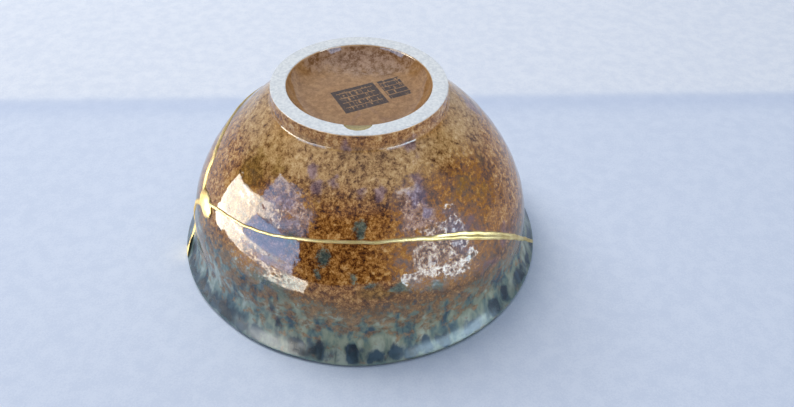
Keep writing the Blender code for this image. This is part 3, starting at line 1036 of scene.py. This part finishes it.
def glaze_looks():
    """Iron-brown mottled glaze over blue-green, running at the lip, and the bare clay of the ring's face."""
    looks = Looks("glaze")
    ramp, mix, noise_of, shade, scale = looks.ramp, looks.mix, looks.noise, looks.shade, looks.scale
    times, plus, minus, less, painted = looks.times, looks.plus, looks.minus, looks.less, looks.painted
    place = looks.place
    x, y, z = looks.parts(place)
    level_place = looks.joined(x, y, 0.0)
    radius = looks.vector("LENGTH", level_place)
    around = looks.vector("SCALE", looks.vector("NORMALIZE", level_place), scale=FLOW_RADIUS)
    ax, ay, _ = looks.parts(around)
    flow = looks.joined(ax, ay, times(z, FLOW_DRAW))

    broad = noise_of(place, 17, 3, 0.55, seed=1.0)
    cloud = noise_of(place, 5.0, 5, 0.62, seed=2.0)
    mottle = noise_of(place, 1.7, 8, 0.74, 0.35, seed=3.0)
    veins = noise_of(place, 0.80, 5, 0.70, 1.1, seed=4.0)

    def wave(value, most):
        """The value, moved to swing round nothing."""
        return times(minus(value, 0.5), 2 * most)

    def patch(kind, value, sharp):
        """A painted patch with an edge as ragged as the value."""
        return ramp(plus(painted(kind), wave(value, 1.1)), 0.5 - sharp, 0.5 + sharp)

    # The mottling, darker in the middle, in the dark patches and low down
    grain = plus(times(mottle, 0.62), times(veins, 0.38))
    tone = plus(plus(grain, wave(grain, 0.30)), wave(cloud, 0.10))
    tone = minus(tone, times(times(ramp(z, *MIDDLE_TOP), ramp(z, *MIDDLE_FOOT)), 0.015))
    tone = minus(tone, times(painted("dark"), 0.10))
    low_zone = ramp(plus(z, wave(broad, 4.0)), *LOW_BROWN_ZONE, 0.0, 0.60)
    tone = minus(tone, times(low_zone, 0.12))

    # The brown glaze, tan at the shoulder, with coloured patches
    warped = plus(plus(z, wave(broad, 5.0)), wave(grain, 9.0))
    upper = times(ramp(warped, *UPPER_FOOT), ramp(warped, *UPPER_TOP))
    brown = mix(times(upper, 0.85), scale(tone, BROWN_SCALE), scale(tone, TAN_SCALE))
    brown = mix(low_zone, brown, shade(LOW_BROWN, tone))
    brown = mix(times(patch("olive", cloud, 0.30), 0.62), brown, shade(OLIVE, tone))
    brown = mix(times(patch("plum", cloud, 0.25), 0.62), brown, shade(PLUM, tone))
    brown = mix(times(patch("teal", veins, 0.24), 0.80), brown, shade(TEAL_SPOT, tone))

    # The blue-green glaze near the lip, colder to the left, with brown flecks
    soft = noise_of(flow, 3.4, 3, 0.50, 0.35, seed=5.0)
    run_tone = plus(plus(soft, wave(soft, 0.35)), plus(wave(mottle, 0.10), wave(veins, 0.05)))
    leftward = ramp(plus(x, wave(broad, 16.0)), -14, -46)
    green = mix(leftward, scale(run_tone, TEAL_SCALE), scale(run_tone, COLD_TEAL_SCALE))
    fleck = noise_of(looks.joined(ax, ay, times(z, 1.2)), 2.7, 4, 0.58, 0.4, seed=11.0)
    fleck_room = ramp(z, *FLECK_ZONE, -0.05, 0.09)
    flecks = ramp(plus(fleck, plus(fleck_room, wave(mottle, 0.10))), 0.49, 0.66)
    green = mix(times(flecks, 0.80), green, scale(tone, FLECK_SCALE))
    left_side = plus(z, ramp(x, 0, -45, 0.0, -7.0))
    ragged = plus(plus(wave(soft, 5.0), wave(mottle, 9.0)), wave(veins, 7.0))
    level = plus(plus(left_side, wave(broad, 4.0)), ragged)
    glaze = mix(ramp(level, *GREEN_ZONE), brown, green)

    # Dark runs that pool above the lip, its darker band, partly the glaze's own colour and partly painted
    # shade in the lip's hollow, and then its paler edge
    runs = plus(wave(noise_of(flow, 3.0, 3, 0.55, 0.7, seed=12.0), 0.9), painted("navy"))
    runs = plus(runs, times(ramp(z, *POOL_FOOT), ramp(z, *POOL_TOP, 0.0, 0.22)))
    runs = plus(runs, wave(mottle, 0.30))
    navy = times(ramp(runs, 0.22, 0.74), ramp(z, *RUN_ZONE))
    glaze = mix(times(navy, 0.90), glaze, shade(NAVY, run_tone))
    # Painted shade, with the glaze's own darkening: the lip below 9 mm made darker
    glaze = mix(ramp(z, *LIP_DARK_AND_SHADE_ZONE, 0.0, 0.40), glaze, shade(LIP_DARK_AND_SHADE, run_tone))
    pale_edge = times(ramp(plus(z, wave(soft, 2.0)), *PALE_EDGE_ZONE), 0.5)
    glaze = mix(pale_edge, glaze, srgb(*LIP_PALE))

    # The plainer glaze inside the foot ring, with a painted reflection on the back slope of its recess, and
    # the mark
    in_recess = times(ramp(z, 54.6, 55.2), less(ramp(radius, 22.6, 22.9)))
    in_middle = times(ramp(z, 50.0, 50.4), ramp(radius, 20.0, 19.0))
    inside_ring = looks.math("MAXIMUM", in_recess, in_middle)
    plain = mix(ramp(grain, 0.38, 0.62), srgb(*RECESS_DARK), srgb(*RECESS_LIGHT))
    # Painted reflection: a pale pinkish grey with dark specks over the back slope of the recess
    recess_reflection_share = ramp(plus(y, wave(cloud, 9.0)), 10.5, 16.5)
    recess_reflection_and_specks = mix(ramp(grain, 0.44, 0.54), srgb(*RECESS_BACK_DARK), srgb(*RECESS_PAINTED_REFLECTION))
    plain = mix(times(recess_reflection_share, 0.60), plain, recess_reflection_and_specks)
    glaze = mix(times(inside_ring, 0.85), glaze, plain)
    glaze = mix(times(mark_share(looks), 0.9), glaze, srgb(*INK))

    # The bare clay of the ring's face, and the warm line where the glaze ends
    top = 1000 * HEIGHT
    ring_height = plus(z, wave(cloud, 0.20))
    bare = ramp(ring_height, top - 0.36, top - 0.20)
    warm = times(ramp(ring_height, top - 0.75, top - 0.30), less(bare))
    clay = mix(ramp(noise_of(place, 0.8, 3, seed=13.0), 0.35, 0.65), srgb(*CLAY_DULL), srgb(*CLAY))
    colour = mix(times(warm, 0.7), glaze, srgb(*CLAY_WARM))
    colour = mix(bare, colour, clay)
    looks.give_shader("Base Color", colour)

    pits = times(ramp(tone, 0.46, 0.43), ramp(painted("pitted"), 0.05, 0.6, 0.04, 1.0))
    gloss = plus(plus(times(pits, 0.60), GLAZE_ROUGHNESS), ramp(z, *SATIN_ZONE, 0.0, LIP_ROUGHNESS))
    rough = mix(bare, looks.joined(gloss, gloss, gloss), (CLAY_ROUGHNESS,) * 3)
    looks.give_shader("Roughness", looks.parts(rough)[0])

    swell = noise_of(place, 2.4, 1, 0.45, seed=14.0)
    ripple = noise_of(place, 0.85, 1, 0.5, seed=15.0)
    ripple = times(ripple, ramp(painted("pitted"), 0.0, 1.0, 0.050, 0.11))
    looks.give_shader("Normal", looks.bump(plus(times(swell, 0.24), ripple), GLAZE_BUMP))
    looks.shader.inputs["IOR"].default_value = GLAZE_IOR
    return looks.material


def gold_looks():
    """Gold powder burnished onto lacquer: bright where rubbed, duller and browner in the hollows."""
    looks = Looks("gold")
    broad = looks.noise(looks.place, 5.0, 3, 0.6, seed=20.0)
    fine = looks.noise(looks.place, 0.45, 4, 0.65, seed=21.0)
    colour = looks.mix(looks.ramp(broad, 0.35, 0.65), srgb(*GOLD_DULL), srgb(*GOLD_BRIGHT))
    colour = looks.mix(looks.times(looks.ramp(fine, 0.54, 0.70), 0.7), colour, srgb(*GOLD_HOLLOW))
    looks.give_shader("Base Color", colour)
    looks.shader.inputs["Metallic"].default_value = 1.0
    looks.give_shader("Roughness", looks.ramp(fine, 0.3, 0.7, 0.38, 0.56))
    looks.give_shader("Normal", looks.bump(fine, GOLD_BUMP))
    return looks.material


def dress(piece, node, material):
    piece.data.materials.clear()
    piece.data.materials.append(material)
    piece.data.shade_smooth()
    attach(piece, "root")
    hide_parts(node)


def make_bowl():
    outside, inside, rest_of_wall = wall_lines()
    section = list(reversed(inside + base_line(inside))) + outside + rest_of_wall + foot_line()
    bowl = turned("bowl", section)
    lines = (outside, inside)
    courses = (("front", FRONT_BREAK, 1), ("left", LEFT_BREAK, 2), ("back", BACK_BREAK, 3))
    cutters = []
    for side, corners, _ in courses:
        cutters.append(break_cutter(side + "_cut", break_points(corners, lines, CUT_STEP)))
    cutters.append(chip_cutter("chip_cut"))
    carve(bowl, "DIFFERENCE", cutters)

    glaze = glaze_looks()
    gold = gold_looks()
    for mesh in loose_meshes(bowl.data):
        node = shard_node(mesh)
        paint(mesh)
        shard = new_piece(node + "_glazed", mesh)
        dress(shard, node, glaze)
        shard.data.set_sharp_from_angle(angle=SHARP_ANGLE)
    bpy.data.objects.remove(bowl)

    beads = []
    for side, corners, seed in courses:
        beads.append(gold_arm(side + "_bead", break_points(corners, lines, BREAK_STEP), seed))
    seam = blob("gold_seam_beads", break_points(FRONT_BREAK, lines, BREAK_STEP)[0])
    carve(seam, "UNION", beads)
    dress(seam, "gold_seam", gold)
    dress(chip_fill("foot_chip_gold"), "foot_chip_fill", gold)


def make_floor():
    """A plain pale flat sheet under the bowl, with a painted soft bend: a line of painted shade, and past it
    painted light, a little lighter.
    """
    looks = Looks("pale_sheet")
    x, y, _ = looks.parts(looks.place)
    bend = looks.plus(y, looks.times(x, PAINTED_BEND_SLANT))
    # Painted light: the sheet a little lighter past the painted bend, and painted shade along the bend
    lit_beyond = looks.ramp(bend, PAINTED_BEND - 4, PAINTED_BEND + 9)
    bend_shade = looks.ramp(bend, PAINTED_BEND - 16, PAINTED_BEND - 1)
    bend_shade = looks.times(bend_shade, looks.ramp(bend, PAINTED_BEND + 5, PAINTED_BEND))
    sheet = looks.mix(lit_beyond, srgb(*SHEET_NEAR), srgb(*SHEET_LIT_BEYOND))
    sheet = looks.mix(looks.times(bend_shade, 0.30), sheet, srgb(*SHEET_BEND_SHADE))
    fine = looks.noise(looks.place, 0.55, 2, 0.6, seed=40.0)
    fibres = looks.plus(fine, looks.noise(looks.place, 5.0, 4, 0.6, seed=41.0))
    sheet = looks.mix(looks.ramp(fibres, 0.80, 1.20, 0.0, 0.24), sheet, srgb(*SHEET_FIBRE))
    looks.give_shader("Base Color", sheet)
    looks.shader.inputs["Roughness"].default_value = 0.8
    looks.shader.inputs["Specular IOR Level"].default_value = 0.2
    signs = ((-1, -1), (1, -1), (1, 1), (-1, 1))
    corners = [(east * FLOOR_REACH, north * FLOOR_REACH, 0) for east, north in signs]
    mesh = bpy.data.meshes.new("floor")
    mesh.from_pydata(corners, [], [(0, 1, 2, 3)])
    mesh.materials.append(looks.material)
    floor = new_piece("floor", mesh)
    floor.location.z = -FLOOR_DROP
    floor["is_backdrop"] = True


def direction(azimuth, elevation):
    azimuth, elevation = math.radians(azimuth), math.radians(elevation)
    level = math.cos(elevation)
    return Vector((level * math.cos(azimuth), level * math.sin(azimuth), math.sin(elevation)))


def panel(name, size, radiance, tint):
    lamp = bpy.data.lights.new(name, "AREA")
    lamp.shape = "RECTANGLE"
    lamp.size, lamp.size_y = size
    lamp.energy = radiance * math.pi * lamp.size * lamp.size_y
    lamp.color = tint
    holder = bpy.data.objects.new(name, lamp)
    bpy.context.scene.collection.objects.link(holder)
    holder.visible_camera = False
    return holder


def window(name, azimuths, elevations, radiance, tint):
    """A far light that fills these azimuths and elevations, seen from the bowl."""
    middle = (sum(azimuths) / 2, sum(elevations) / 2)
    half_turn = math.radians(azimuths[1] - azimuths[0]) / 2
    half_rise = math.radians(elevations[1] - elevations[0]) / 2
    width = 2 * WINDOW_DISTANCE * math.tan(half_turn) * math.cos(math.radians(middle[1]))
    holder = panel(name, (width, 2 * WINDOW_DISTANCE * math.tan(half_rise)), radiance, tint)
    towards = direction(*middle)
    holder.location = towards * WINDOW_DISTANCE
    holder.rotation_euler = towards.to_track_quat("Z", "Y").to_euler()
    return holder


def card(name, azimuths, heights, slant, radiance, tint, receivers):
    """A small upright light near the bowl, between these heights in millimetres, slanted by some degrees."""
    half_turn = math.radians(azimuths[1] - azimuths[0]) / 2
    low, high = (height / 1000 for height in heights)
    holder = panel(name, (2 * CARD_DISTANCE * math.tan(half_turn), high - low), radiance, tint)
    towards = direction(sum(azimuths) / 2, 0)
    holder.location = towards * CARD_DISTANCE + Vector((0, 0, (low + high) / 2))
    turn = towards.to_track_quat("Z", "Y").to_matrix() @ Matrix.Rotation(math.radians(slant), 3, "Z")
    holder.rotation_euler = turn.to_euler()
    holder.light_linking.receiver_collection = receivers
    holder.visible_diffuse = False


CREAM = (1.0, 0.96, 0.84)
COLD = (0.42, 0.64, 1.0)
BLUISH = (0.66, 0.86, 1.0)
WARM = (1.0, 0.98, 0.95)
ROOM_DARK = (0.06, 0.06, 0.065)
ROOM_LIGHT = (0.56, 0.63, 0.75)
ROOM_BACK, ROOM_TOP = (0.30, 0.50), (0.55, 0.80)


def make_lights():
    receivers = bpy.data.collections.new("bowl_only")
    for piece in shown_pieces():
        receivers.objects.link(piece)
    for name, azimuths, heights, slant, radiance, tint in (
        ("left_frame", (-188, -176), (1, 74), 0, 13.0, CREAM),
        ("left_light", (-176, -161), (26, 78), 0, 14.0, CREAM),
        ("left_light_top", (-182, -141), (79, 93), 13, 12.0, CREAM),
        ("left_sill", (-176, -150), (9, 30), 0, 13.0, CREAM),
        ("left_sill_end", (-150, -120), (6, 27), -3, 12.5, CREAM),
        ("left_pane", (-161, -127), (30, 78), 0, 8.0, COLD),
        ("left_pane_top", (-166, -125), (98, 155), 0, 5.6, COLD),
        ("right_sill", (-69, -45), (16, 36), -5, 12.5, BLUISH),
        ("right_sill_end", (-46, -25), (4, 27), -5, 13.0, BLUISH),
        ("right_pane", (-60, -41), (37, 84), 0, 10.5, BLUISH),
        ("right_light", (-41, -26), (34, 92), 0, 13.0, BLUISH),
        ("right_top", (-60, -38), (94, 190), 0, 4.8, COLD),
    ):
        card(name, azimuths, heights, slant, radiance, tint, receivers)
    window("key", (112, 160), (36, 72), 5.4, WARM).visible_glossy = False
    for name, azimuths, radiance in (
        ("fill", (-125, -65), 3.2),
        ("right_fill", (-40, 20), 2.7),
        ("left_fill", (-210, -160), 2.4),
    ):
        fill = window(name, azimuths, (12, 40), radiance, WARM)
        fill.light_linking.receiver_collection = receivers
        fill.visible_glossy = False

    world = bpy.data.worlds.new("studio")
    bpy.context.scene.world = world
    world.use_nodes = True
    words = Words(world.node_tree)
    _, back, up = words.parts(words.node("TexCoord").outputs["Generated"])
    bright = words.math("MAXIMUM", words.ramp(back, *ROOM_BACK), words.ramp(up, *ROOM_TOP))
    words.give(words.tree.nodes["Background"].inputs["Color"], words.mix(bright, ROOM_DARK, ROOM_LIGHT))


def make_camera():
    lens = bpy.data.cameras.new("photo_view")
    lens.sensor_width = SENSOR_WIDTH
    lens.lens = FOCAL_PIXELS / IMAGE_WIDTH * SENSOR_WIDTH
    lens.clip_start = 0.01
    camera = bpy.data.objects.new("photo_view", lens)
    bpy.context.scene.collection.objects.link(camera)
    turn = Matrix.Rotation(math.pi / 2 + CAMERA_PITCH, 4, "X")
    turn @= Matrix.Rotation(-CAMERA_YAW, 4, "Y") @ Matrix.Rotation(CAMERA_ROLL, 4, "Z")
    camera.matrix_world = Matrix.Translation(CAMERA_PLACE) @ turn
    bpy.context.scene.camera = camera


make_camera()
make_bowl()
make_floor()
make_lights()
bpy.context.scene.view_settings.view_transform = "Standard"
